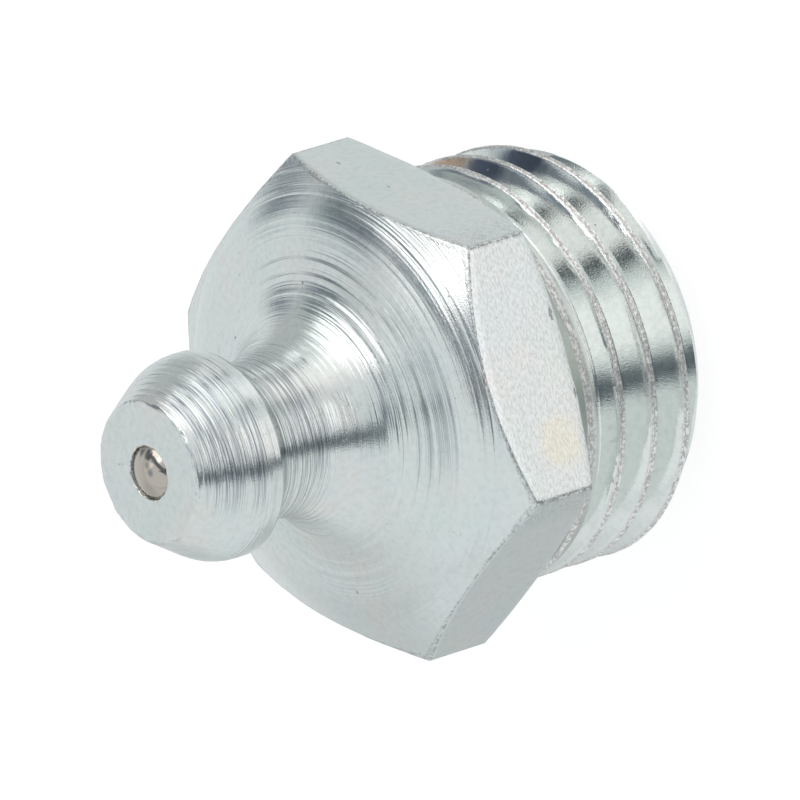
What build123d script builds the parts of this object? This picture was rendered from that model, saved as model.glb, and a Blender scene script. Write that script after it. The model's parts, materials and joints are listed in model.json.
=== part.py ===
from build123d import *
from math import atan, cos, degrees, radians, sin, sqrt, tan
import os

# Straight grease nipple with a G 1/4 thread, in millimetres.
# Z is the axis and points out of the head. Z = 0 is the seat under the hexagon.

# Thread: G 1/4, Whitworth form, right-hand, with its crests and roots cut flat
thread_d = 13.157  # over the crests
thread_pitch = 1.337
thread_depth = 0.6403 * thread_pitch
thread_root_flat = thread_pitch / 6
thread_flank_angle = 27.5  # of each flank to a plane square to the axis
thread_end_gap = 1.108  # from the seat to the middle of the last full groove, where it crosses +X
thread_runout_turns = 1 / 3  # the groove rises out of the shank over this much more

# Threaded shank
shank_length = 6.5
shank_end_d = 11.2  # end face, inside a 45 degree lead-in

# Hexagon, turned at both ends
hex_across_flats = 14.0
seat_d = 14.1  # flat seat under the hexagon
hex_back_angle = 20.0  # chamfer outside the seat
hex_shoulder_z = 3.84  # where the front chamfer meets the shallow cone
hex_shoulder_d = 12.4
hex_shoulder_r = 2.5
hex_chamfer_angle = 33.0
hex_cone_angle = 13.5

# Neck
neck_d = 5.0
neck_fillet_r = 3.0

# Head that the coupler grips
head_d = 6.5
head_top_z = 11.31
head_face_d = 4.48
head_cone_angle = 30.0  # of the flank to the axis
head_blend_r = 1.9  # flank into land
head_land_z = 8.69  # lower edge of the land
head_back_angle = 45.0

# Ball valve
ball_d = 2.5
ball_gap = 0.01  # between the ball and its seat
seat_hole_d = 1.7
seat_lip = 0.12  # straight part of the hole, outside the seat cone
seat_cone_angle = 45.0  # to the axis
bore_d = 3.0

# Spring, and the staked lip that holds it in
wire_d = 0.3
spring_mean_d = 2.2
spring_open_turns = 7
spring_end_pitch = 0.34  # of the closed turn at each end
spring_gap = 0.01
lip_d = 2.1
lip_thickness = 0.45
stake_d = 3.9
stake_depth = 0.4
stake_half_angle = 30.0

# Worked out from the sizes above
thread_r = thread_d / 2
thread_overcut = 0.1 * thread_pitch  # how far the groove's cutter reaches past the crests
hex_corner_r = hex_across_flats / 2 / cos(radians(30))
blank_margin = 0.3
blank_r = hex_corner_r + blank_margin
seat_cone_z = head_top_z - seat_lip
ball_z = seat_cone_z + seat_hole_d / 2 / tan(radians(seat_cone_angle))
ball_z -= ball_d / 2 / sin(radians(seat_cone_angle)) + ball_gap
spring_low_z = -shank_length + lip_thickness + wire_d / 2 + spring_gap
spring_high_z = ball_z - sqrt((ball_d / 2 + wire_d / 2) ** 2 - (spring_mean_d / 2) ** 2) - spring_gap

os.makedirs("parts", exist_ok=True)


def groove_profile(z):
    """The thread's groove on +X, with its middle at height z."""
    root_half = thread_root_flat / 2
    mouth_half = root_half + (thread_depth + thread_overcut) * tan(radians(thread_flank_angle))
    with BuildSketch(Plane.XZ) as profile:
        with BuildLine():
            Polyline(
                (thread_r - thread_depth, z - root_half),
                (thread_r - thread_depth, z + root_half),
                (thread_r + thread_overcut, z + mouth_half),
                (thread_r + thread_overcut, z - mouth_half),
                close=True,
            )
        make_face()
    return profile.sketch


def spring_coil(low_z, pitch, turns):
    """Turns of six-sided wire upwards from low_z, starting over +X."""
    with BuildLine() as coil:
        Helix(pitch, pitch * turns, spring_mean_d / 2, center=(0, 0, low_z))
    with BuildSketch(Plane.XZ) as wire:
        with Locations((spring_mean_d / 2, low_z)):
            RegularPolygon(wire_d / 2, 6, major_radius=False)
    sweep(wire.sketch, coil.line, is_frenet=True)


# Body: turned, drilled and threaded from hexagon bar
with BuildPart() as body:
    # Head, neck and hexagon, as (radius, height, corner radius) from the seat up
    back_rise = (blank_r - seat_d / 2) * tan(radians(hex_back_angle))
    chamfer_drop = (blank_r - hex_shoulder_d / 2) * tan(radians(hex_chamfer_angle))
    cone_rise = (hex_shoulder_d - neck_d) / 2 * tan(radians(hex_cone_angle))
    back_drop = (head_d - neck_d) / 2 / tan(radians(head_back_angle))
    flank_drop = (head_d - head_face_d) / 2 / tan(radians(head_cone_angle))
    outside = [
        (0, 0, 0),
        (seat_d / 2, 0, 0),
        (blank_r, back_rise, 0),
        (blank_r, hex_shoulder_z - chamfer_drop, 0),
        (hex_shoulder_d / 2, hex_shoulder_z, hex_shoulder_r),
        (neck_d / 2, hex_shoulder_z + cone_rise, neck_fillet_r),
        (neck_d / 2, head_land_z - back_drop, 0),
        (head_d / 2, head_land_z, 0),
        (head_d / 2, head_top_z - flank_drop, head_blend_r),
        (head_face_d / 2, head_top_z, 0),
        (0, head_top_z, 0),
    ]
    with BuildSketch(Plane.XZ):
        with BuildLine():
            FilletPolyline(
                [(r, z) for r, z, _ in outside],
                radius=[corner_r for _, _, corner_r in outside],
                close=True,
            )
        make_face()
    revolve(axis=Axis.Z)

    # The six flats of the bar
    with BuildSketch():
        RegularPolygon(hex_across_flats / 2, 6, major_radius=False)
    extrude(amount=head_top_z, mode=Mode.INTERSECT)

    # Shank, with a 45 degree lead-in
    with BuildSketch(Plane.XZ):
        with BuildLine():
            Polyline(
                (0, 0),
                (thread_r, 0),
                (thread_r, -shank_length + thread_r - shank_end_d / 2),
                (shank_end_d / 2, -shank_length),
                (0, -shank_length),
                close=True,
            )
        make_face()
    revolve(axis=Axis.Z)

    # Grease way: staked lip, spring bore, seat cone and the hole in the head
    cone_height = (bore_d - seat_hole_d) / 2 / tan(radians(seat_cone_angle))
    with BuildSketch(Plane.XZ):
        with BuildLine():
            Polyline(
                (0, -shank_length),
                (lip_d / 2, -shank_length),
                (lip_d / 2, -shank_length + lip_thickness),
                (bore_d / 2, -shank_length + lip_thickness),
                (bore_d / 2, seat_cone_z - cone_height),
                (seat_hole_d / 2, seat_cone_z),
                (seat_hole_d / 2, head_top_z),
                (0, head_top_z),
                close=True,
            )
        make_face()
    revolve(axis=Axis.Z, mode=Mode.SUBTRACT)

    # Groove that the staking tool leaves around the lip
    with BuildSketch(Plane.XZ):
        with BuildLine():
            stake_half_width = stake_depth * tan(radians(stake_half_angle))
            Polyline(
                (stake_d / 2 - stake_half_width, -shank_length),
                (stake_d / 2, -shank_length + stake_depth),
                (stake_d / 2 + stake_half_width, -shank_length),
                close=True,
            )
        make_face()
    revolve(axis=Axis.Z, mode=Mode.SUBTRACT)

    # Thread: full grooves from below the end face, then the run-out
    full_turns = int(shank_length / thread_pitch) + 1
    full_height = full_turns * thread_pitch
    with BuildLine():
        Helix(thread_pitch, full_height, thread_r, center=(0, 0, -thread_end_gap - full_height))
    sweep(groove_profile(-thread_end_gap - full_height), is_frenet=True, mode=Mode.SUBTRACT)
    runout_height = thread_runout_turns * thread_pitch
    runout_angle = degrees(atan((thread_depth + thread_overcut) / runout_height))
    with BuildLine():
        Helix(
            thread_pitch,
            runout_height,
            thread_r,
            center=(0, 0, -thread_end_gap),
            cone_angle=runout_angle,
        )
    sweep(groove_profile(-thread_end_gap), is_frenet=True, mode=Mode.SUBTRACT)
body.part.label = "body"
export_step(body.part, "parts/body.step")

# Ball, closing the hole in the head from inside
with BuildPart() as ball:
    with Locations((0, 0, ball_z)):
        Sphere(ball_d / 2)
ball.part.label = "ball"
export_step(ball.part, "parts/ball.step")

# Spring, from the staked lip to the back of the ball, with a closed turn at each end
with BuildPart() as spring:
    open_height = spring_high_z - spring_low_z - 2 * spring_end_pitch
    spring_coil(spring_low_z, spring_end_pitch, 1)
    spring_coil(spring_low_z + spring_end_pitch, open_height / spring_open_turns, spring_open_turns)
    spring_coil(spring_high_z - spring_end_pitch, spring_end_pitch, 1)
spring.part.label = "spring"
export_step(spring.part, "parts/spring.step")
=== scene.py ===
import bmesh
import bpy
import json
import numpy as np
from math import cos, pi, radians, sin, tan
from mathutils import Matrix, Vector


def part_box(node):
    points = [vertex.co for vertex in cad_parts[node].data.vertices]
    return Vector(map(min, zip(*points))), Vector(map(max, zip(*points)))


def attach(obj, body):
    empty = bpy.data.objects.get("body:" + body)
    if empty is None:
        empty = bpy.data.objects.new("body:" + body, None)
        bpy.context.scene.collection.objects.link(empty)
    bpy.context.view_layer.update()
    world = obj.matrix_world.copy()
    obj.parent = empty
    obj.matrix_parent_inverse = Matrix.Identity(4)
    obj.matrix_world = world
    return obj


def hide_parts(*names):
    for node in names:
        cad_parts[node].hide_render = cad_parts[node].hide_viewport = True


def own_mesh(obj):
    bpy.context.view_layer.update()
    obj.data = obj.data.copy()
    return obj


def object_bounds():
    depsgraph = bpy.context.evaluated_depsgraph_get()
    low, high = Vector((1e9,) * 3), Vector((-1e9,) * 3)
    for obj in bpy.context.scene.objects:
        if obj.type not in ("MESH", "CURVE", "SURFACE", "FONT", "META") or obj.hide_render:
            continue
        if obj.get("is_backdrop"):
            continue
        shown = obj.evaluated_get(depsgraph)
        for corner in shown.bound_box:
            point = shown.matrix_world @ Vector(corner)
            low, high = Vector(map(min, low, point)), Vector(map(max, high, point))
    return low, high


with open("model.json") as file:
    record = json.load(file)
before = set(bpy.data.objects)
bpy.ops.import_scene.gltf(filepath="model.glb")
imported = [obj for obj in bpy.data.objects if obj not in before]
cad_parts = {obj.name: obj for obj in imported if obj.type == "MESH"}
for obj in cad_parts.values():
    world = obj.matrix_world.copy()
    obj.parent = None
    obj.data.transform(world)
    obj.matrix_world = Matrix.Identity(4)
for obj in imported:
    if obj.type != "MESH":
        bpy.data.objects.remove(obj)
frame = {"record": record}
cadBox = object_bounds()
mm = 0.001
mounts = {mount["name"]: mount for mount in frame["record"]["mounts"]}
bodyLow, bodyHigh = (np.array(corner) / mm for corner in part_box("body"))
ballLow, ballHigh = (np.array(corner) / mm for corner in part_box("ball"))
springLow, springHigh = (np.array(corner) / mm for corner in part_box("spring"))
print("frame loaded")


def latticeNoise(across, along, wrap, seed):
    # random heights on a square lattice, joined by smooth steps; it repeats after wrap cells across
    rows = 512
    table = np.random.default_rng(seed).uniform(-1, 1, (wrap, rows))
    column, row = np.floor(across).astype(int), np.floor(along).astype(int)
    u, v = across - column, along - row
    u, v = u * u * (3 - 2 * u), v * v * (3 - 2 * v)
    left, right, low, high = column % wrap, (column + 1) % wrap, row % rows, (row + 1) % rows
    lower = table[left, low] * (1 - u) + table[right, low] * u
    upper = table[left, high] * (1 - u) + table[right, high] * u
    return lower * (1 - v) + upper * v


def filletedPath(corners, step=0.01):
    # straight runs between (r, z, radius) corners; at each corner, the arc of that radius touching both runs,
    # in steps of about that length
    points = [np.array(corners[0][:2])]
    for before, here, after in zip(corners, corners[1:], corners[2:]):
        corner, radius = np.array(here[:2]), here[2]
        if radius == 0:
            points.append(corner)
            continue
        back, ahead = np.array(before[:2]) - corner, np.array(after[:2]) - corner
        back, ahead = back / np.linalg.norm(back), ahead / np.linalg.norm(ahead)
        half = np.arccos(back @ ahead) / 2
        middle = (back + ahead) / np.linalg.norm(back + ahead)
        centre = corner + middle * radius / np.sin(half)
        first, last = (corner + run * radius / np.tan(half) - centre for run in (back, ahead))
        start, stop = np.arctan2(first[1], first[0]), np.arctan2(last[1], last[0])
        sweep = (stop - start + pi) % (2 * pi) - pi
        turns = start + sweep * np.linspace(0, 1, max(4, int(abs(sweep) * radius / step)))
        points += list(centre + radius * np.stack([np.cos(turns), np.sin(turns)], 1))
    points = np.array(points + [np.array(corners[-1][:2])])
    length = np.append(0, np.cumsum(np.hypot(*np.diff(points, axis=0).T)))
    return points, length


def ringFaces(rows, columns):
    # quads between neighbouring rings of points, closed round the axis
    i, j = np.meshgrid(np.arange(rows - 1), np.arange(columns), indexing="ij")
    k = (j + 1) % columns
    corners = [i * columns + j, i * columns + k, (i + 1) * columns + k, (i + 1) * columns + j]
    return np.stack(corners, -1).reshape(-1, 4)


def makePiece(name, points, faces, layers, sharpAngle):
    # a mesh from points in millimetres, its doubled points merged, its soft edges smooth
    mesh = bpy.data.meshes.new(name)
    mesh.from_pydata((points * mm).tolist(), [], faces.tolist())
    for layer, values in layers.items():
        kind, field = ("FLOAT_VECTOR", "vector") if values.ndim == 2 else ("FLOAT", "value")
        attribute = mesh.attributes.new(layer, kind, "POINT")
        attribute.data.foreach_set(field, values.astype(np.float32).ravel())
    form = bmesh.new()
    form.from_mesh(mesh)
    bmesh.ops.remove_doubles(form, verts=form.verts, dist=0.0001 * mm)
    form.to_mesh(mesh)
    form.free()
    mesh.polygons.foreach_set("use_smooth", np.ones(len(mesh.polygons), bool))
    mesh.set_sharp_from_angle(angle=radians(sharpAngle))
    piece = bpy.data.objects.new(name, mesh)
    bpy.context.scene.collection.objects.link(piece)
    return piece


# sizes in millimetres, angles in degrees
nipple = {
    "columns": 216,
    "crowding": 0.72,  # of the columns towards the hexagon's corners
    "seatR": 7.05,
    "backAngle": 20,
    "outerR": 8.5,  # where the front's outline starts, clear of the corners
    "shoulderR": 6.2,
    "shoulderZ": 3.84,
    "shoulderRound": 3.5,
    "chamferAngle": 33,
    "coneAngle": 13.5,
    "neckR": 2.5,
    "neckRound": 3.0,
    "headBackAngle": 45,
    "landZ": 8.69,
    "landRound": 0.22,
    "backRound": 0.5,
    "flankAngle": 30,
    "flankRound": 1.9,
    "faceR": 2.24,
    "faceRound": 0.2,
    "holeR": 0.85,
    "holeRound": 0.035,
    "holeLip": 0.12,
    "boreR": 1.5,
    "lipR": 1.05,
    "lipRound": 0.08,
    "lipThickness": 0.45,
    "stakeR": 1.95,
    "stakeDepth": 0.4,
    "stakeHalfAngle": 30,
    "stakeRound": 0.04,
    "stakeRootRound": 0.05,
    "shankEndR": 5.33,
    "edgeWear": 0.035,  # width of the worn edge between the flats and the turned faces
    "edgeUneven": 0.5,
    "edgeCells": 120,  # of unevenness, round the axis
    "cornerSoftness": 200,
    "cornerWear": 0.03,  # radial width of the worn strip along each corner
    "dentedEdges": [12.95, 14.32],  # round the head's face and round its hole, as lengths along the outline
    "dentDepth": 0.028,
    "dentWidth": 0.1,
    "dentCells": (72, 9),  # round the axis, and a millimetre along the outline
    "seatRows": 4,
    "backRows": 4,
    "flatRows": 12,
    "cornerRows": 15,
    "wornRows": 3,  # of those, beside the worn edge
    "circleR": 6.95,  # from here inwards every row is a whole circle
    # from each of these lengths along the outline, the rows are this far apart
    "rowSteps": {0: 0.048, 7.9: 0.065, 9.0: 0.075, 10.05: 0.036, 12.75: 0.045, 13.1: 0.11, 14.2: 0.02},
}
thread = {
    "diameter": 13.157,
    "pitch": 1.337,
    "firstTurn": -5,  # the lattice starts here, counted from the end of the last full groove
    "turns": 8,
    "lastGrooveZ": -1.108,
    "flankAngle": 27.5,
    "rootRound": 0.184,
    "rootRows": 5,
    "depth": 0.856,
    "sides": (0.2, 0.29, 0.36, 0.42, 0.48),  # rows on each flank, this far from the groove's middle
    "sideGap": 0.03,  # between the last of them and the groove's mouth
    "lip": 0.025,  # height of the two lips of each rolled crest
    "seam": 0.045,  # depth of the seam between them
    # rows on the crest: how far across it they lie, and their share of the seam's depth
    "crest": {0.001: 0.6, 0.17: 0, 0.42: 1, 0.58: 1, 0.83: 0, 0.999: 0.6},
    # the last groove gets shallower by these amounts, at these turns past the end of the last full groove
    "lifts": {-0.8: 0, -0.5: 0.25, -0.05: 0.25, 0.33: 0.96},
    "shallow": 0.25,  # so much shallower is called shallow here
    "runoutStart": 0.1,
    "runoutEnd": 0.33,
    "sink": 0.13,  # the shallow groove sits this much lower
    "collarDepth": 0.03,  # the smooth band above it lies this far under the crests
    "fillStart": 0.8,  # the groove fades out towards the end face from this height above it
    "fillHeight": 0.4,
    "wobble": 0.012,
    "wobbleCells": (108, 0.9),  # round the axis, and a row
    "wobbleShift": 0.8,  # of it that also shifts the crests along the axis
    "wander": 0.016,
    "wanderCells": (22, 0.2),
    "wanderHeight": 0.5,  # of it that also changes the crests' height
    "shifting": (0.5, 0.04),  # the shift sets in this far from the groove's middle, over this distance
    "runoutWobble": 0.3,
    "collarShare": 0.5,  # of the band's painted shade, on the shallow groove's flank from this far from its middle
    "collarFlank": 0.4,
}
threadR = thread["diameter"] / 2
flatR, endZ, topZ = bodyHigh[1], bodyLow[2], bodyHigh[2]
headR = mounts["coupler_head"]["dims"]["r_mm"]

columns = nipple["columns"]
phase = np.arange(columns) / columns * 2 * pi
turn = phase - nipple["crowding"] * np.sin(6 * phase) / 6  # each column's angle round the axis


def hexRadius(turn):
    # the flats' distance from the axis: half the spanner size over the softened largest of six cosines
    cosines = np.cos(turn[..., None] - radians(30) - np.arange(6) * radians(60))
    soft = nipple["cornerSoftness"]
    return flatR * soft / np.log(np.exp(soft * cosines).sum(-1))


def frontPath():
    # the outline from outside the hexagon's chamfer over the neck and head to the hole, as (r, z)
    n = nipple
    chamferRise = (n["outerR"] - n["shoulderR"]) * tan(radians(n["chamferAngle"]))
    coneRise = (n["shoulderR"] - n["neckR"]) * tan(radians(n["coneAngle"]))
    return filletedPath([
        (n["outerR"], n["shoulderZ"] - chamferRise, 0),
        (n["shoulderR"], n["shoulderZ"], n["shoulderRound"]),
        (n["neckR"], n["shoulderZ"] + coneRise, n["neckRound"]),
        (n["neckR"], n["landZ"] - (headR - n["neckR"]) / tan(radians(n["headBackAngle"])), n["backRound"]),
        (headR, n["landZ"], n["landRound"]),
        (headR, topZ - (headR - n["faceR"]) / tan(radians(n["flankAngle"])), n["flankRound"]),
        (n["faceR"], topZ, n["faceRound"]),
        (n["holeR"], topZ, n["holeRound"]),
        (n["holeR"], topZ - n["holeLip"] / 2, 0),
    ])


def insidePath():
    # the outline from the hole through the spring bore to the staked lip and the shank's end
    n = nipple
    coneDrop = n["boreR"] - n["holeR"]
    stakeHalf = n["stakeDepth"] * tan(radians(n["stakeHalfAngle"]))
    lipTop = endZ + n["lipThickness"]
    return filletedPath([
        (n["holeR"], topZ - n["holeLip"] / 2, 0),
        (n["holeR"], topZ - n["holeLip"], 0),
        (n["boreR"], topZ - n["holeLip"] - coneDrop, 0),
        (n["boreR"], lipTop, 0),
        (n["lipR"], lipTop, 0),
        (n["lipR"], endZ, n["lipRound"]),
        (n["stakeR"] - stakeHalf, endZ, n["stakeRound"]),
        (n["stakeR"], endZ + n["stakeDepth"], n["stakeRootRound"]),
        (n["stakeR"] + stakeHalf, endZ, n["stakeRound"]),
        (n["shankEndR"], endZ, 0),
    ])


marks = {
    "start": -3,  # of the first mark, along the outline
    "count": 400,
    "width": 0.2,  # millimetres, about
    "widthShares": (0.55, 1.45),
    "depthShares": (0.25, 1),
    "outerShare": 0.5,  # of their depth, on the chamfer
    # by the length along the outline: depth of the tool marks, and how strongly the fine turned streaks show
    "depths": {0: 0.004, 2.2: 0.006, 3.2: 0.010, 4.4: 0.014, 6.8: 0.014, 7.4: 0.018, 8.6: 0.016, 9.1: 0.002,
               10.3: 0.001, 10.6: 0.010, 11.0: 0.017, 12.6: 0.017, 12.85: 0.001},
    "streaks": {0: 0.4, 2.1: 0.4, 2.9: 0.4, 3.3: 1, 6.5: 1.2, 7.6: 2.1, 8.9: 1.9, 9.4: 0.35, 10.2: 0.35,
                10.7: 2.1, 12.6: 2.1, 12.95: 0.2, 14.3: 0.2},
    # up to the chamfer's end and from the neck's start, the streaks are stronger on one side: they are
    # multiplied by the even value plus the swing times the cosine of the angle from that side, within limits
    "chamfer": {"end": 1.9, "side": 35, "even": 1, "swing": 2.5, "limits": (0.5, 3.5)},
    "neck": {"start": 6.9, "side": 283, "even": 0.75, "swing": 0.7, "limits": (0.25, 1.4)},
    # single round ridges, at these lengths along the outline: height and half width
    "ridges": {3.07: (0.007, 0.11), 4.0: (0.016, 0.11), 4.46: (0.018, 0.11), 4.95: (0.02, 0.12)},
}


def turningMarks(length):
    # height of the tool marks at each place along the outline: round-bottomed troughs side by side, each as
    # deep as one minus the square of the distance from its middle, with uneven widths and depths, and ridges
    random = np.random.default_rng(7)
    widths = marks["width"] * random.uniform(*marks["widthShares"], marks["count"])
    ends = marks["start"] + np.cumsum(widths)
    share = random.uniform(*marks["depthShares"], marks["count"])
    k = np.clip(np.searchsorted(ends, length), 0, marks["count"] - 1)
    across = (ends[k] - length) / widths[k] * 2 - 1
    deep = np.interp(length, list(marks["depths"]), list(marks["depths"].values()))
    height = -deep * share[k] * (1 - across ** 2)
    for place, (high, half) in marks["ridges"].items():
        height = height + high * np.exp(-((length - place) / half) ** 2)
    return height


# what the rings' places go on from, where they aren't lengths along the front's outline
places = {"inside": 30, "seat": 60, "back": 61, "backEdge": 62.2, "flat": 62.3, "frontEdge": 66, "thread": 80}
zones = {"turned": 1.0, "besideEdge": 0.9, "wornEdge": 0.5, "flat": 0.0}


def unevenness(cells, along, seed):
    # random heights with this many cells round the axis
    return latticeNoise(phase / (2 * pi) * cells + 0 * along, along + 0 * phase, cells, seed)


def alongFront(path, values, r):
    # the front's values at these distances from the axis, down to the neck; further on, distances come twice
    inward = np.argmax(path[:, 0] <= nipple["neckR"])
    return np.interp(r, path[inward::-1, 0], values[inward::-1])


def hexagonRings(path, length):
    # the seat, its chamfer, the flats between two worn edges, and the front up to its first whole circle
    n = nipple
    hexR = hexRadius(turn)
    wear = n["edgeWear"] * (1 + n["edgeUneven"] * unevenness(n["edgeCells"], 0, seed=3))
    inset = 0.3 * wear  # of the worn edges' middle rings

    def frontZ(r):
        return alongFront(path, path[:, 1], r)

    def backZ(r):
        return np.maximum(0, (r - n["seatR"]) * tan(radians(n["backAngle"])))

    seatR = np.minimum(n["seatR"], hexR - wear)
    for u in np.linspace(0, 1, n["seatRows"]):
        yield threadR + u * (seatR - threadR), 0, places["seat"] + u, zones["turned"]
    for u in np.linspace(0, 1, n["backRows"] + 1)[1:]:
        r = seatR + u * (hexR - wear - seatR)
        yield r, backZ(r), places["back"] + u, zones["turned"]
    yield hexR - inset, backZ(hexR) + inset, places["backEdge"], zones["wornEdge"]
    low, high = backZ(hexR) + wear, frontZ(hexR) - wear
    for u in np.linspace(0, 1, n["flatRows"]):
        climb = u * (high - low)
        yield hexR, low + climb, places["flat"] + climb, zones["flat"]
    yield hexR - inset, frontZ(hexR) - inset, places["frontEdge"], zones["wornEdge"]
    for k, u in enumerate(np.linspace(0, 1, n["cornerRows"] + 1)[:-1]):
        r = (hexR - wear) * (1 - u) + n["circleR"] * u
        s = alongFront(path, length, r)
        z = frontZ(r) + turningMarks(s) * marks["outerShare"]
        yield r, z, s, zones["besideEdge" if k < n["wornRows"] else "turned"]


def frontRings(path, length):
    # the front from that circle over the neck and the head to the hole, with its tool marks and dented edges
    n = nipple
    first = alongFront(path, length, n["circleR"])
    stations = [first, *list(n["rowSteps"])[1:], length[-1]]
    runs = [np.arange(a, b, step) for a, b, step in zip(stations, stations[1:], n["rowSteps"].values())]
    stops = np.concatenate(runs + [length[-1:]])
    line = np.stack([np.interp(stops, length, path[:, axis]) for axis in (0, 1)], 1)
    slope = np.gradient(line, stops, axis=0)
    slope /= np.linalg.norm(slope, axis=1)[:, None]
    edges = n["dentDepth"] * np.exp(-((stops[:, None] - n["dentedEdges"]) / n["dentWidth"]) ** 2).sum(1)
    cells, rate = n["dentCells"]
    dents = unevenness(cells, stops[:, None] * rate, seed=8)
    height = turningMarks(stops)[:, None] + edges[:, None] * dents
    for k, s in enumerate(stops[:-1]):
        (r, z), (along, across) = line[k], slope[k]
        yield r + across * height[k], z - along * height[k], s, zones["turned"]


def bodyRings():
    # rings from the thread's upper end over the seat, the flats, the turned front and the bore to the shank's
    # end, as (r, z), each with its place along the outline and its zone
    front = frontPath()
    inside = [(*point, places["inside"] + s, zones["turned"]) for point, s in zip(*insidePath())]
    rings = [*hexagonRings(*front), *frontRings(*front), *inside]
    r, z, along, zone = (np.array([part + 0 * turn for part in parts]) for parts in zip(*rings))
    return np.stack([r, z], -1), along, zone


def threadProfile():
    # across one groove and its crest: distances from the groove's middle, radii, and half the groove's width
    t = thread
    flank = tan(radians(t["flankAngle"]))
    mouth = (t["depth"] + t["rootRound"] * (1 / sin(radians(t["flankAngle"])) - 1)) * flank
    arc = np.linspace(-1, 1, t["rootRows"]) * radians(90 - t["flankAngle"])
    root = [(t["rootRound"] * sin(a), threadR - t["depth"] + t["rootRound"] * (1 - cos(a))) for a in arc]
    sides = [(v, threadR - (mouth - v) / flank) for v in (*t["sides"], mouth - t["sideGap"])]
    wide = t["pitch"] - 2 * mouth
    crest = [(mouth + wide * u, threadR + t["lip"] - drop * t["seam"]) for u, drop in t["crest"].items()]
    offset, radius = np.array([(-v, r) for v, r in sides[::-1]] + root + sides + crest).T
    return offset, radius, mouth


def cutThread(r, z):
    # the thread between the seat and the end face, with its lead-in, near which the groove fades out
    leadIn = nipple["shankEndR"] + z - endZ
    filled = np.clip((endZ + thread["fillStart"] - z) / thread["fillHeight"], 0, 1)
    r = np.minimum(r + np.clip(leadIn - r, 0, None) * filled, leadIn)
    above, below = z > 0, z < endZ
    r, z = np.where(above, threadR, r), np.where(above, 0, z)
    return np.stack([np.where(below, nipple["shankEndR"], r), np.where(below, endZ, z)], -1)


def threadRings():
    # a lattice of rows that climb with the helix: row after row crosses one groove and its crest, and a row's
    # last column joins the first column of the same row one turn up
    t = thread
    offset, radius, mouth = threadProfile()
    rows = len(offset)
    lane = np.arange(rows * t["turns"])
    # turns past the last full groove's end
    climbed = (t["firstTurn"] + lane // rows)[:, None] + turn / (2 * pi)
    v, r = offset[lane % rows][:, None], radius[lane % rows][:, None]
    onCrest = (v > mouth) * np.ones_like(climbed)
    lift = np.interp(climbed, list(t["lifts"]), list(t["lifts"].values()))
    shallow = np.clip(lift / t["shallow"], 0, 1)
    narrower = np.minimum(lift, t["shallow"]) * tan(radians(t["flankAngle"]))
    v = np.where(v < 0, np.maximum(v, narrower + t["sideGap"] - mouth), v)
    (cells, rate), (wideCells, wideRate) = t["wobbleCells"], t["wanderCells"]
    rough = t["wobble"] * unevenness(cells, climbed * rows * rate, seed=5)
    wander = t["wander"] * unevenness(wideCells, climbed * rows * wideRate, seed=6)
    groove = np.minimum(r + lift, threadR - t["collarDepth"] * shallow)
    r = np.where(onCrest, r + rough + t["wanderHeight"] * wander, groove)
    r = np.where(climbed > t["runoutEnd"], threadR - t["collarDepth"] / 2 + t["runoutWobble"] * rough, r)
    z = t["lastGrooveZ"] + t["pitch"] * climbed + v - t["sink"] * shallow * (1 - onCrest)
    shifting, over = t["shifting"]
    z = z + (t["wobbleShift"] * rough + wander) * np.clip((np.abs(v) - shifting) / over, 0, 1)
    along = places["thread"] + 3 * climbed + v
    ending = np.clip((climbed - t["runoutStart"]) / (t["runoutEnd"] - t["runoutStart"]), 0, 1)
    collar = np.maximum(ending, t["collarShare"] * shallow * (v > t["collarFlank"]))
    i, j = np.meshgrid(np.arange(rows * (t["turns"] - 1) - 1), np.arange(columns), indexing="ij")
    nextColumn = np.where(j == columns - 1, (i + rows) * columns, i * columns + j + 1)
    corners = [i * columns + j, nextColumn, nextColumn + columns, (i + 1) * columns + j]
    return cutThread(r, z), along, onCrest * (1 - ending), collar, np.stack(corners, -1).reshape(-1, 4)


def oneSided(rule):
    # the streaks' strength round the axis: an even value plus a cosine from one side, within limits
    return np.clip(rule["even"] + rule["swing"] * np.cos(turn - radians(rule["side"])), *rule["limits"])


def makeBody():
    # each ring and lattice point (r, z) turned to its column's angle, with masks for the material
    rings, along, zone = bodyRings()
    lattice, latticeAlong, crest, collar, latticeFaces = threadRings()
    profiles = np.concatenate([rings, lattice])
    angle = np.broadcast_to(turn, profiles.shape[:2])
    r, z = profiles[..., 0], profiles[..., 1]
    points = np.stack([r * np.cos(angle), r * np.sin(angle), z], -1).reshape(-1, 3)
    faces = np.concatenate([ringFaces(len(rings), columns), latticeFaces + rings.shape[0] * columns])
    ring = np.stack([np.cos(angle), np.sin(angle), np.concatenate([along, latticeAlong])], -1).reshape(-1, 3)
    flat = zone == zones["flat"]
    reach, worn = hexRadius(turn), nipple["cornerWear"]
    corner = np.clip((reach - reach.max() + worn) / worn, 0, 1)
    edge = np.maximum((zone == zones["wornEdge"]) + 0.5 * (zone == zones["besideEdge"]), flat * corner)
    shown = np.interp(along, list(marks["streaks"]), list(marks["streaks"].values()))
    shown = shown * np.where(along < marks["chamfer"]["end"], oneSided(marks["chamfer"]), 1)
    shown = shown * np.where(along < marks["neck"]["start"], 1, oneSided(marks["neck"]))

    def onRings(values):
        return np.concatenate([values, np.zeros(crest.shape)]).ravel()

    def onLattice(values):
        return np.concatenate([np.zeros(zone.shape), values]).ravel()

    layers = {"ring": ring, "turned": onRings(zone * shown), "crest": onLattice(crest),
              "threaded": onLattice(np.ones(crest.shape)), "edge": onRings(edge), "flat": onRings(flat),
              "collar": onLattice(collar)}
    return makePiece("turnedBody", points, faces, layers, sharpAngle=40)


body = makeBody()
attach(body, "body")
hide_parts("body")
print("body made:", len(body.data.polygons), "faces")

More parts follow.
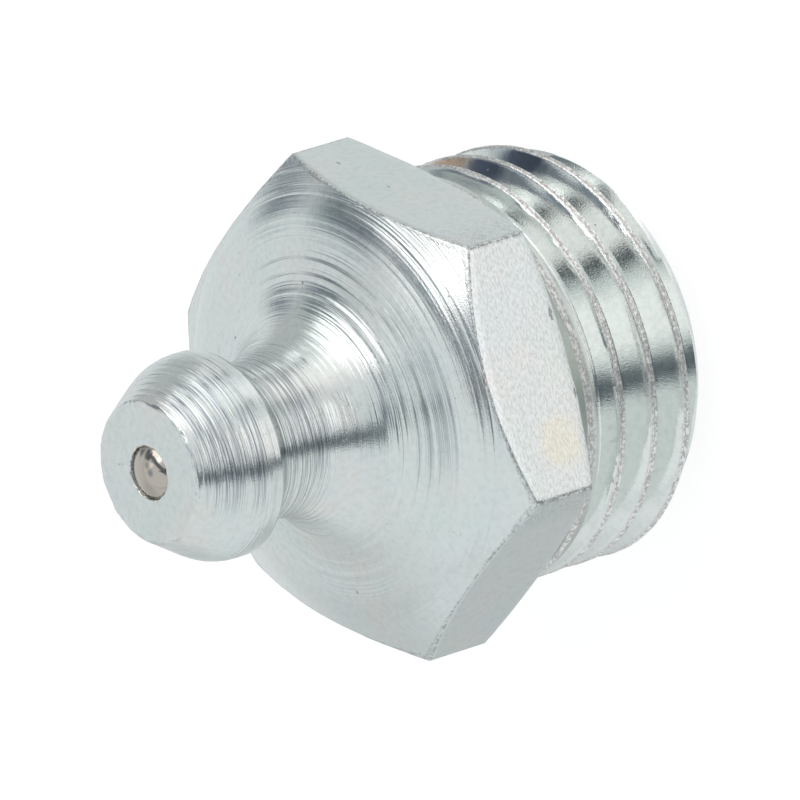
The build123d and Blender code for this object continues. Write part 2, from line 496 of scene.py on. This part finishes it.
ball = {"rows": 72, "columns": 96, "material": "ballSteel", "color": (0.52, 0.47, 0.42, 1), "roughness": 0.09}


def makeBall():
    # a sphere: rings of latitude closed by one point at each pole
    centre, radius = (ballLow + ballHigh) / 2, (ballHigh - ballLow)[2] / 2
    latitude = np.linspace(-pi / 2, pi / 2, ball["rows"])[:, None]
    longitude = np.arange(ball["columns"]) / ball["columns"] * 2 * pi
    ones = np.ones_like(longitude)
    points = np.stack([np.cos(latitude) * np.cos(longitude), np.cos(latitude) * np.sin(longitude),
                       np.sin(latitude) * ones], -1)
    points = points.reshape(-1, 3) * radius + [0, 0, centre[2]]
    return makePiece("valveBall", points, ringFaces(ball["rows"], ball["columns"]), {}, sharpAngle=60)


valveBall = makeBall()
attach(valveBall, "ball")
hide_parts("ball")
print("ball made")

spring = {
    "wireD": 0.3,
    "meanR": 1.1,
    "openTurns": 7,
    "endPitch": 0.34,
    "steps": 64,  # round each turn
    "sides": 14,  # of the wire
    "material": "springSteel",
    "color": (0.4, 0.4, 0.4, 1),
    "roughness": 0.25,
}


def makeSpring():
    # a round wire along a helix: its height climbs slowly over the first and last turn and evenly between
    # them, and each end is closed by a point in its middle
    wireR, meanR = spring["wireD"] / 2, spring["meanR"]
    low, high = springLow[2] + wireR, springHigh[2] - wireR
    total = spring["openTurns"] + 2
    turns = np.linspace(0, total, total * spring["steps"] + 1)
    height = np.interp(turns, [0, 1, total - 1, total],
                       [low, low + spring["endPitch"], high - spring["endPitch"], high])
    angle = turns * 2 * pi
    centres = np.stack([meanR * np.cos(angle), meanR * np.sin(angle), height], -1)
    along = np.gradient(centres, axis=0)
    along /= np.linalg.norm(along, axis=1)[:, None]
    outward = np.stack([np.cos(angle), np.sin(angle), 0 * angle], -1)
    up = np.cross(along, outward)
    around = np.arange(spring["sides"]) / spring["sides"] * 2 * pi
    section = outward[:, None] * np.cos(around)[:, None] - up[:, None] * np.sin(around)[:, None]
    rings = centres[:, None] + wireR * section
    rings = np.concatenate([np.repeat(centres[:1, None], spring["sides"], 1), rings,
                            np.repeat(centres[-1:, None], spring["sides"], 1)])
    faces = ringFaces(len(rings), spring["sides"])
    return makePiece("valveSpring", rings.reshape(-1, 3), faces, {}, sharpAngle=50)


valveSpring = makeSpring()
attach(valveSpring, "body")
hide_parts("spring")
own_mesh(valveSpring)
print("spring made")


def addNode(tree, kind, settings=None, **inputs):
    # a node with its settings, and with each named input set to a value or linked to another node's output
    node = tree.nodes.new(kind)
    for name, value in (settings or {}).items():
        setattr(node, name, value)
    for name, value in inputs.items():
        socket = node.inputs[int(name[1:])] if name[0] == "i" and name[1:].isdigit() else node.inputs[name]
        if isinstance(value, bpy.types.NodeSocket):
            tree.links.new(value, socket)
        else:
            socket.default_value = value
    return node.outputs[0] if node.outputs else None


def mixColors(tree, share, first, second):
    # first where share is 0, second where it is 1
    mix = tree.nodes.new("ShaderNodeMix")
    mix.data_type = "RGBA"
    for socket, value in zip((mix.inputs[0], mix.inputs[6], mix.inputs[7]), (share, first, second)):
        if isinstance(value, bpy.types.NodeSocket):
            tree.links.new(value, socket)
        else:
            socket.default_value = value
    return mix.outputs[2]


def arithmetic(tree, operation, first, second=0.0):
    return addNode(tree, "ShaderNodeMath", {"operation": operation}, i0=first, i1=second)


def add(tree, first, second):
    return arithmetic(tree, "ADD", first, second)


def multiply(tree, first, second):
    return arithmetic(tree, "MULTIPLY", first, second)


def multiplyAdd(tree, value, factor, extra):
    return addNode(tree, "ShaderNodeMath", {"operation": "MULTIPLY_ADD"}, i0=value, i1=factor, i2=extra)


def largest(tree, first, second):
    return arithmetic(tree, "MAXIMUM", first, second)


def vectorMath(tree, operation, first, second=(0, 0, 0)):
    return addNode(tree, "ShaderNodeVectorMath", {"operation": operation}, i0=first, i1=second)


def dotProduct(tree, first, second):
    return vectorMath(tree, "DOT_PRODUCT", first, second).node.outputs["Value"]


def vectorLength(tree, vector):
    return vectorMath(tree, "LENGTH", vector).node.outputs["Value"]


def inRange(tree, value, start, end, low=0.0, high=1.0):
    # low before start, high after end, and a smooth step between them
    return addNode(tree, "ShaderNodeMapRange", {"interpolation_type": "SMOOTHSTEP"}, Value=value, **{
        "From Min": start, "From Max": end, "To Min": low, "To Max": high})


def noise(tree, vector, scale=1.0, detail=1.0):
    return addNode(tree, "ShaderNodeTexNoise", {}, Vector=vector, Scale=scale, Detail=detail)


def newMaterial(name):
    # an empty one, and its node tree
    material = bpy.data.materials.new(name)
    material.use_nodes = True
    material.node_tree.nodes.clear()
    return material, material.node_tree


# each range is of a noise: what it is named after begins at the first value and is full at the second
zinc = {
    "color": (0.735, 0.76, 0.75, 1),
    # tints in patches: how many a millimetre, and a shift that sets each pattern apart
    "tints": [
        ((0.715, 0.755, 0.765, 1), 0.35, (0, 0, 0)),
        ((0.765, 0.76, 0.735, 1), 0.5, (7, 3, 5)),
        ((0.70, 0.765, 0.735, 1), 0.4, (2, 8, 6)),
    ],
    "tintRange": (0.45, 0.75),
    "thread": (0.80, 0.83, 0.81, 1),
    # the smooth band's colour is painted shade, where it lies recessed under the hexagon's seat
    "collar": (0.40, 0.45, 0.405, 1),
    "crest": (0.54, 0.53, 0.51, 1),
    # crestShine is a painted glint, laid in strands along the crests
    "crestShine": (0.88, 0.87, 0.85, 1),
    "yellowish": (0.78, 0.765, 0.68, 1),
    "navy": (0.26, 0.28, 0.34, 1),
    "brown": (0.52, 0.40, 0.30, 1),
    "dirt": (0.17, 0.16, 0.16, 1),
    "roughness": 0.16,
    "roughnessSpread": 0.06,
    "roughnessCells": 2.2,  # a millimetre
    "roughnessAdded": {"crest": 0.2, "collar": 0.25, "threaded": -0.08},
    # streaks: across them a millimetre, along them a radian, and their depth in millimetres
    "streaks": [(6, 0.7, 0.020), (14, 0.9, 0.012), (34, 1.4, 0.005)],
    "lines": 0.75,  # strength of the darker lines along the streaks
    "lineCells": (1.2, 1.2, 26),
    "lineRange": (0.48, 0.62),
    "linesFrom": (2.3, 2.9),  # the streaks' strength, over which these lines come in
    "strandCells": (55, 55, 14),  # of the crests' own tone and their painted glints
    "strandRange": (0.4, 0.62),
    "grain": 20,  # a millimetre
    "grainDepth": 0.003,
    "coarser": 2.5,  # how much deeper it gets on crests and edges
    # the drawn bar's grain: round and along the bar a millimetre, and its depth; it is faint on most flats,
    # and between these places along Y it gets strong
    "hammer": (6, 14, 0.008),
    "hammerY": (-5.5, -6.6),
    "hammerShare": (0.05, 0.8),  # its strength everywhere, and what the strong flat has more
    "hammerShade": 0.20,  # how much painted shade darkens its hollows
    "hammerRange": (0.6, 0.35),
    "mottle": 0.06,
    "mottleCells": 5,
    "mottleRange": (0.6, 0.3),
    "pits": 3.2,  # a millimetre
    "pitSizes": (0.02, 0.14),
    "pitSizeCells": 1.1,
    "pitSizeRange": (0.5, 0.75),
    "pitDepth": 0.006,
    "pitDirt": 0.55,
    # nicks: middle in millimetres, half sizes along X, Y and Z, and depth
    "nicks": [
        ((1.43, -7, 0.2), (0.20, 0.3, 0.07), 0.05),
        ((-1.1, -7, 0.08), (0.15, 0.3, 0.05), 0.04),
        ((3.03, 2.8, 4.43), (0.04, 0.16, 0.1), 0.05),
        ((4.22, -0.94, 4.33), (0.05, 0.05, 0.1), 0.04),
        ((7.43, -1.12, 1.92), (0.08, 0.16, 0.04), 0.03),
        ((6.36, -2.98, 1.75), (0.08, 0.14, 0.03), 0.03),
        ((-5.43, 0.83, 4.01), (0.06, 0.05, 0.1), 0.04),
        ((0.45, 1.25, 11.31), (0.03, 0.03, 0.1), 0.03),
    ],
    "nickUneven": 1.6,
    "nickCells": 7,
    "nickEdge": (1.9, 1.4),  # in half sizes from its middle
    "nickDirt": 0.6,
    # a stain on a flat, and painted dark reflections at the thread's top: tint, middle and half sizes
    "stainsAndPaintedReflections": [
        ("yellowish", (-2.36, -7, 1.13), (0.9, 0.5, 0.9)),
        # these three are painted dark reflections on the thread's top
        ("navy", (6.05, -1.95, -2.98), (0.6, 1.0, 0.5)),
        ("navy", (5.85, -2.2, -4.3), (0.6, 1.1, 0.5)),
        ("brown", (6.5, -0.4, -2.9), (0.9, 1.1, 0.9)),
    ],
    "stainAndReflectionUneven": 0.8,
    "stainAndReflectionCells": 2,
    "stainAndReflectionEdge": (1.6, 0.9),
    # dirt along worn edges: its least and most
    "burr": (0.1, 0.75),
    "burrCells": 8,
    "burrRange": (0.42, 0.62),
}


def unevenDistance(tree, place, middle, sizes, scale, uneven):
    # from the middle, in half sizes, with noise added
    away = vectorMath(tree, "DIVIDE", vectorMath(tree, "SUBTRACT", place, middle), sizes)
    return add(tree, vectorLength(tree, away), multiply(tree, noise(tree, place, scale, 3.0), uneven))


def zincRelief(tree, ring, place, masks):
    # in millimetres: streaks, the bar's grain, the plating's grain, small pits in the middles of a random
    # pattern's cells, and nicks; with it, the bar's hollows' painted shade, and how dirty pits and nicks are
    height = 0.0
    for across, along, depth in zinc["streaks"]:
        stretched = vectorMath(tree, "MULTIPLY", ring, (along, along, across))
        height = add(tree, height, multiply(tree, noise(tree, stretched), depth))
    height = multiply(tree, height, masks["turned"])
    y = addNode(tree, "ShaderNodeSeparateXYZ", {}, Vector=place).node.outputs["Y"]
    everywhere, more = zinc["hammerShare"]
    hammered = multiplyAdd(tree, inRange(tree, y, *zinc["hammerY"]), more, everywhere)
    hammered = multiply(tree, masks["flat"], hammered)
    across, along, depth = zinc["hammer"]
    strokes = noise(tree, vectorMath(tree, "MULTIPLY", place, (across, across, along)), 1.0, 4.0)
    height = add(tree, height, multiply(tree, hammered, multiply(tree, strokes, depth)))
    # painted shade in the hollows of the bar's grain
    hollowShade = multiply(tree, inRange(tree, strokes, *zinc["hammerRange"]), zinc["hammerShade"])
    coarse = largest(tree, masks["crest"], largest(tree, masks["edge"], masks["collar"]))
    coarse = multiplyAdd(tree, coarse, zinc["coarser"], 1.0)
    grain = multiply(tree, noise(tree, place, zinc["grain"], 2.0), zinc["grainDepth"])
    height = add(tree, height, multiply(tree, grain, coarse))
    cells = addNode(tree, "ShaderNodeTexVoronoi", {}, Vector=place, Scale=zinc["pits"]).node.outputs
    small = noise(tree, place, zinc["pitSizeCells"])
    small = inRange(tree, small, *zinc["pitSizeRange"], *zinc["pitSizes"])
    pits = inRange(tree, arithmetic(tree, "DIVIDE", cells["Distance"], small), 1.0, 0.5)
    height = arithmetic(tree, "SUBTRACT", height, multiply(tree, pits, zinc["pitDepth"]))
    dirt = multiply(tree, pits, zinc["pitDirt"])
    for middle, sizes, depth in zinc["nicks"]:
        away = unevenDistance(tree, place, middle, sizes, zinc["nickCells"], zinc["nickUneven"])
        nick = inRange(tree, away, *zinc["nickEdge"])
        height = arithmetic(tree, "SUBTRACT", height, multiply(tree, nick, depth))
        dirt = largest(tree, dirt, multiply(tree, nick, zinc["nickDirt"]))
    return height, multiply(tree, hammered, hollowShade), dirt


def zincColor(tree, ring, place, masks, paintedHollowShade, dirt):
    # the plating's tints, a stain, painted dark reflections at the thread's top, the smooth band's painted
    # shade and the worn crests with painted glints; over them a faint mottle, painted shade in the bar's
    # hollows, lines along the streaks, and dirt
    color = zinc["color"]
    for tint, scale, shift in zinc["tints"]:
        patch = noise(tree, vectorMath(tree, "ADD", place, shift), scale, 3.0)
        color = mixColors(tree, inRange(tree, patch, *zinc["tintRange"]), color, tint)
    color = mixColors(tree, masks["threaded"], color, zinc["thread"])
    # a stain, and the painted dark reflections at the thread's top
    for tint, middle, sizes in zinc["stainsAndPaintedReflections"]:
        away = unevenDistance(tree, place, middle, sizes, zinc["stainAndReflectionCells"], zinc["stainAndReflectionUneven"])
        color = mixColors(tree, inRange(tree, away, *zinc["stainAndReflectionEdge"]), color, zinc[tint])
    # painted glints in strands along the crests
    strands = noise(tree, vectorMath(tree, "MULTIPLY", ring, zinc["strandCells"]), 1.0, 2.0)
    crest = mixColors(tree, inRange(tree, strands, *zinc["strandRange"]), zinc["crest"], zinc["crestShine"])
    # the smooth band gets its painted shade
    color = mixColors(tree, masks["collar"], color, zinc["collar"])
    color = mixColors(tree, masks["crest"], color, crest)
    mottle = inRange(tree, noise(tree, place, zinc["mottleCells"], 6.0), *zinc["mottleRange"])
    mottle = multiply(tree, mottle, zinc["mottle"])
    # a faint mottle, and the painted shade in the bar's hollows
    color = mixColors(tree, add(tree, mottle, paintedHollowShade), color, (0, 0, 0, 1))
    lines = noise(tree, vectorMath(tree, "MULTIPLY", ring, zinc["lineCells"]))
    lines = inRange(tree, lines, *zinc["lineRange"])
    lines = multiply(tree, lines, inRange(tree, masks["turned"], *zinc["linesFrom"]))
    color = mixColors(tree, multiply(tree, lines, zinc["lines"]), color, zinc["navy"])
    burr = inRange(tree, noise(tree, place, zinc["burrCells"], 3.0), *zinc["burrRange"], *zinc["burr"])
    burr = multiply(tree, masks["edge"], burr)
    return mixColors(tree, largest(tree, dirt, burr), color, zinc["dirt"])


def makeZinc():
    # turned streaks follow the ring attribute: the direction round the axis, and the length along the outline
    material, tree = newMaterial("zincPlating")
    ring = addNode(tree, "ShaderNodeAttribute", {"attribute_name": "ring"}).node.outputs["Vector"]
    masks = {name: addNode(tree, "ShaderNodeAttribute", {"attribute_name": name}).node.outputs["Fac"]
             for name in ("turned", "crest", "threaded", "edge", "flat", "collar")}
    place = addNode(tree, "ShaderNodeTexCoord").node.outputs["Object"]
    place = addNode(tree, "ShaderNodeVectorMath", {"operation": "SCALE"}, i0=place, Scale=1 / mm)
    height, paintedHollowShade, dirt = zincRelief(tree, ring, place, masks)
    bump = addNode(tree, "ShaderNodeBump", {}, Height=height, Distance=mm, Strength=1.0)
    color = zincColor(tree, ring, place, masks, paintedHollowShade, dirt)
    rough, spread = noise(tree, place, zinc["roughnessCells"], 3.0), zinc["roughnessSpread"]
    rough = multiplyAdd(tree, rough, 2 * spread, zinc["roughness"] - spread)
    for mask, more in zinc["roughnessAdded"].items():
        rough = add(tree, rough, multiply(tree, masks[mask], more))
    shader = addNode(tree, "ShaderNodeBsdfPrincipled", {}, **{
        "Base Color": color, "Metallic": 1.0, "Roughness": rough, "Normal": bump})
    addNode(tree, "ShaderNodeOutputMaterial", {}, Surface=shader)
    return material


def makeSteel(piece):
    # plain bare steel
    material, tree = newMaterial(piece["material"])
    shader = addNode(tree, "ShaderNodeBsdfPrincipled", {}, **{
        "Base Color": piece["color"], "Metallic": 1.0, "Roughness": piece["roughness"]})
    addNode(tree, "ShaderNodeOutputMaterial", {}, Surface=shader)
    return material


body.data.materials.append(makeZinc())
valveBall.data.materials.append(makeSteel(ball))
valveSpring.data.materials.append(makeSteel(spring))
print("materials made")

view = {
    "azimuth": 3.226,  # degrees
    "elevation": 39.127,
    "roll": -107.22,
    "distance": 534.7,  # millimetres
    "across": 0.763,  # how far the origin lies to the right of the picture's middle
    "up": 0.379,
    "lens": 784.1,
}


def makeCamera():
    # it looks along the direction of the two angles and is turned about that by the roll
    azimuth, elevation, roll = radians(view["azimuth"]), radians(view["elevation"]), radians(view["roll"])
    back = Vector((sin(azimuth) * cos(elevation), -cos(azimuth) * cos(elevation), sin(elevation)))
    level = Vector((cos(azimuth), sin(azimuth), 0))
    upright = back.cross(level)
    right, up = level * cos(roll) + upright * sin(roll), upright * cos(roll) - level * sin(roll)
    place = (back * view["distance"] - right * view["across"] - up * view["up"]) * mm
    camera = bpy.data.objects.new("camera", bpy.data.cameras.new("camera"))
    camera.data.lens = view["lens"]
    camera.data.clip_start, camera.data.clip_end = 0.01, 20
    camera.matrix_world = Matrix.Translation(place) @ Matrix((right, up, back)).transposed().to_4x4()
    bpy.context.scene.collection.objects.link(camera)
    bpy.context.scene.camera = camera


makeCamera()

studio = {
    "floorRadius": 0.06,  # metres
    "floorSides": 96,
    "floorMiddle": 0.3,  # of the radius, where it begins to fade
    "floorShade": 0.25,  # how much light the floor's middle gives back
    "floorGlow": 0.62,  # what that takes off its glow
    "room": 0.84,  # light from a bare part of the room
    "tints": {0.5: (0.82, 0.96, 1.10), 0.9: (0.965, 1.01, 1.025)},  # of whatever gives less light than this
    # what stands round the room, each over those before it: azimuth and elevation of its middle, half its
    # width and height, the softness of its edge, all in degrees, and its light; it is round where the height
    # is None
    "walls": [
        ("left wall", -155, 10, 45, 50, 6, 0.86),
        ("back wall", 121, 0, 15, 45, 12, 0.67),
        ("back lamp", 128, 62, 22, None, 8, 1.08),
        ("dim gap", 27, 10, 22, 60, 9, 0.56),
        ("side strip", -31, 0, 18, 72, 9, 1.10),
        ("side box", -5, 52, 25, 27, 2.5, 1.8),
    ],
    # overhead, a dark beam and then the ceiling lie round one direction: how far their edges are from it, and
    # their light; both end at the lowest elevation
    "ceilingAim": (127.5, 12.3),
    "ceilingLow": 42,
    "ceilingLowSoft": 4,
    "ceiling": [(95.3, 0.22), (84.7, 0.88)],
    "ceilingSoft": 1.3,
    "things": [
        ("front strip", -84, -10, 17, 34, 5, 1.24),
        ("front bar", -89, 9, 24, 5, 2, 0.04),
        ("front haze", -92, 36, 18, 9, 5, 0.70),
        ("dark gap", -117, 0, 8, 90, 3, 0.16),
        ("low gap", -50, -29, 6, 9, 2.5, 0.10),
        ("low side gap", -9.5, -21, 5.5, 9, 2, 0.10),
        ("low lamp", 4, -15, 7, 7, 2, 1.6),
        ("low right", 27, -42, 22, 13, 4, 0.79),
        ("low left", 147, -42, 22, 13, 4, 0.62),
        ("low front", -88, -47, 26, 11, 3, 1.04),
        ("left stand low", 54, 15, 9, None, 5, 0.27),
        ("left stand middle", 42, 39, 8, None, 4, 0.30),
        ("left stand high", 37, 47, 8, None, 3, 0.20),
        ("left stand edge", 35, 34, 6, None, 3, 0.20),
        ("left stand top", 26, 64, 5, None, 3, 0.40),
        ("box corner", 12.5, 47.5, 4.5, None, 1.5, 1.8),
        ("high lamp", 44, 68, 6, None, 3, 1.25),
        ("ceiling edge", 63, 54, 7, None, 4, 0.55),
        ("dark ceiling", -110, 64, 9, None, 4, 0.20),
        ("ceiling gap", 95, 66, 8, None, 6, 0.48),
        ("lamp", -22, 61, 7, None, 2, 2.4),
    ],
}


def makeFloor():
    # a round floor under the end face, fading into the plain white surroundings; metal looks through it
    mesh = bpy.data.meshes.new("floor")
    radius, sides = studio["floorRadius"], studio["floorSides"]
    edge = np.arange(sides) / sides * 2 * pi
    points = np.stack([np.cos(edge), np.sin(edge), 0 * edge], 1) * radius + [0, 0, endZ * mm]
    mesh.from_pydata(points.tolist(), [], [list(range(sides))])
    floor = bpy.data.objects.new("floor", mesh)
    bpy.context.scene.collection.objects.link(floor)
    floor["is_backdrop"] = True
    material, tree = newMaterial("paleFloor")
    path = addNode(tree, "ShaderNodeLightPath").node.outputs
    seen = largest(tree, path["Is Camera Ray"], path["Is Glossy Ray"])
    seen = largest(tree, seen, path["Is Transmission Ray"])
    away = vectorLength(tree, addNode(tree, "ShaderNodeTexCoord").node.outputs["Object"])
    fade = inRange(tree, away, studio["floorMiddle"] * radius, radius, studio["floorShade"], 0.0)
    glow = multiply(tree, seen, multiplyAdd(tree, fade, -studio["floorGlow"], 1.0))
    color = addNode(tree, "ShaderNodeCombineColor", {}, Red=fade, Green=fade, Blue=fade)
    shade = addNode(tree, "ShaderNodeBsdfDiffuse", {}, Color=color)
    light = addNode(tree, "ShaderNodeEmission", {}, Color=(1, 1, 1, 1), Strength=glow)
    both = addNode(tree, "ShaderNodeAddShader", {}, i0=shade, i1=light)
    clear = addNode(tree, "ShaderNodeBsdfTransparent")
    both = addNode(tree, "ShaderNodeMixShader", {}, i0=path["Is Glossy Ray"], i1=both, i2=clear)
    addNode(tree, "ShaderNodeOutputMaterial", {}, Surface=both)
    mesh.materials.append(material)


makeFloor()


def makeWorld():
    # the room's light by direction: each panel in turn covers what is behind it; the camera sees plain white
    world = bpy.data.worlds.new("studio")
    bpy.context.scene.world = world
    world.use_nodes = True
    tree = world.node_tree
    tree.nodes.clear()
    direction = addNode(tree, "ShaderNodeTexCoord").node.outputs["Generated"]
    height = addNode(tree, "ShaderNodeSeparateXYZ", {}, Vector=direction).node.outputs["Z"]
    elevation = arithmetic(tree, "ARCSINE", height)
    level = vectorMath(tree, "NORMALIZE", vectorMath(tree, "MULTIPLY", direction, (1, 1, 0)))

    def angleTo(azimuth, elevation):
        # between each direction and the one at these angles
        azimuth, elevation = radians(azimuth), radians(elevation)
        aim = (cos(azimuth) * cos(elevation), sin(azimuth) * cos(elevation), sin(elevation))
        return arithmetic(tree, "ARCCOSINE", dotProduct(tree, direction, aim))

    def within(angle, edge, soft):
        # 1 inside the edge, 0 outside it
        return inRange(tree, angle, radians(edge + soft), radians(edge - soft))

    def tinted(strength):
        tint = next((tint for limit, tint in studio["tints"].items() if strength < limit), (1, 1, 1))
        return [strength * part for part in tint] + [1]

    def paintPanels(light, panels):
        for _, azimuth, middle, halfWidth, halfHeight, soft, strength in panels:
            if halfHeight is None:
                cover = within(angleTo(azimuth, middle), halfWidth, soft)
            else:
                aim = (cos(radians(azimuth)), sin(radians(azimuth)), 0)
                cover = within(arithmetic(tree, "ARCCOSINE", dotProduct(tree, level, aim)), halfWidth, soft)
                away = arithmetic(tree, "ABSOLUTE", arithmetic(tree, "SUBTRACT", elevation, radians(middle)))
                cover = multiply(tree, cover, within(away, halfHeight, soft))
            light = mixColors(tree, cover, light, tinted(strength))
        return light

    light = paintPanels(tinted(studio["room"]), studio["walls"])
    low, soft = studio["ceilingLow"], studio["ceilingLowSoft"]
    high = inRange(tree, elevation, radians(low - soft), radians(low + soft))
    for edge, strength in studio["ceiling"]:
        cover = within(angleTo(*studio["ceilingAim"]), edge, studio["ceilingSoft"])
        light = mixColors(tree, multiply(tree, cover, high), light, tinted(strength))
    light = paintPanels(light, studio["things"])
    path = addNode(tree, "ShaderNodeLightPath").node.outputs
    around = addNode(tree, "ShaderNodeBackground", {}, Color=light, Strength=1.0)
    white = addNode(tree, "ShaderNodeBackground", {}, Color=(1, 1, 1, 1), Strength=1.0)
    mixed = addNode(tree, "ShaderNodeMixShader", {}, i0=path["Is Camera Ray"], i1=around, i2=white)
    addNode(tree, "ShaderNodeOutputWorld", {}, Surface=mixed)


makeWorld()
bpy.context.scene.view_settings.view_transform = "Standard"
print("studio made")

boxes = {"cad": cadBox, "visual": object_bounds()}
{name: [list(map(float, corner)) for corner in corners] for name, corners in boxes.items()}
